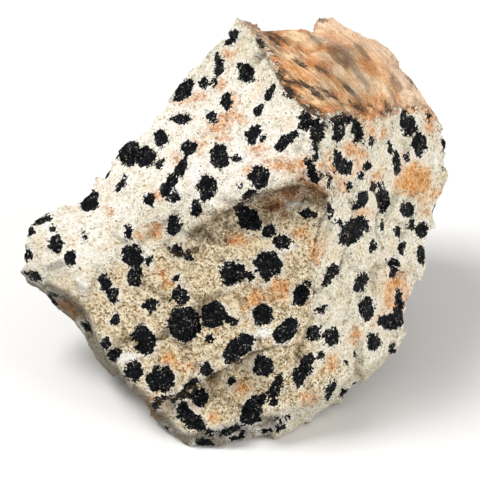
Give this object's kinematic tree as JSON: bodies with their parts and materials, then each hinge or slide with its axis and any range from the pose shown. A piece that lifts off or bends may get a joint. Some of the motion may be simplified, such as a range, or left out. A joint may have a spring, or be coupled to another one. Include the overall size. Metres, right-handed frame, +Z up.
{
  "type": "rough rock",
  "caption": "Rough broken block of cream dalmatian stone with black spots, a ledge across the front and an orange weathered rind on top.",
  "frame": {"origin": "on the ground, under the middle of the rock's bounding box", "axes": "+X to the right across the rock's width, +Y to its back, +Z up; the broken base lies in Z = 0"},
  "size_m": [0.0502, 0.0414, 0.0384],
  "materials": {
    "stone": "dry broken stone, cream with black spots, matt and fine-grained"
  },
  "bodies": {
    "root": {"rock": "stone"}
  },
  "joints": []
}
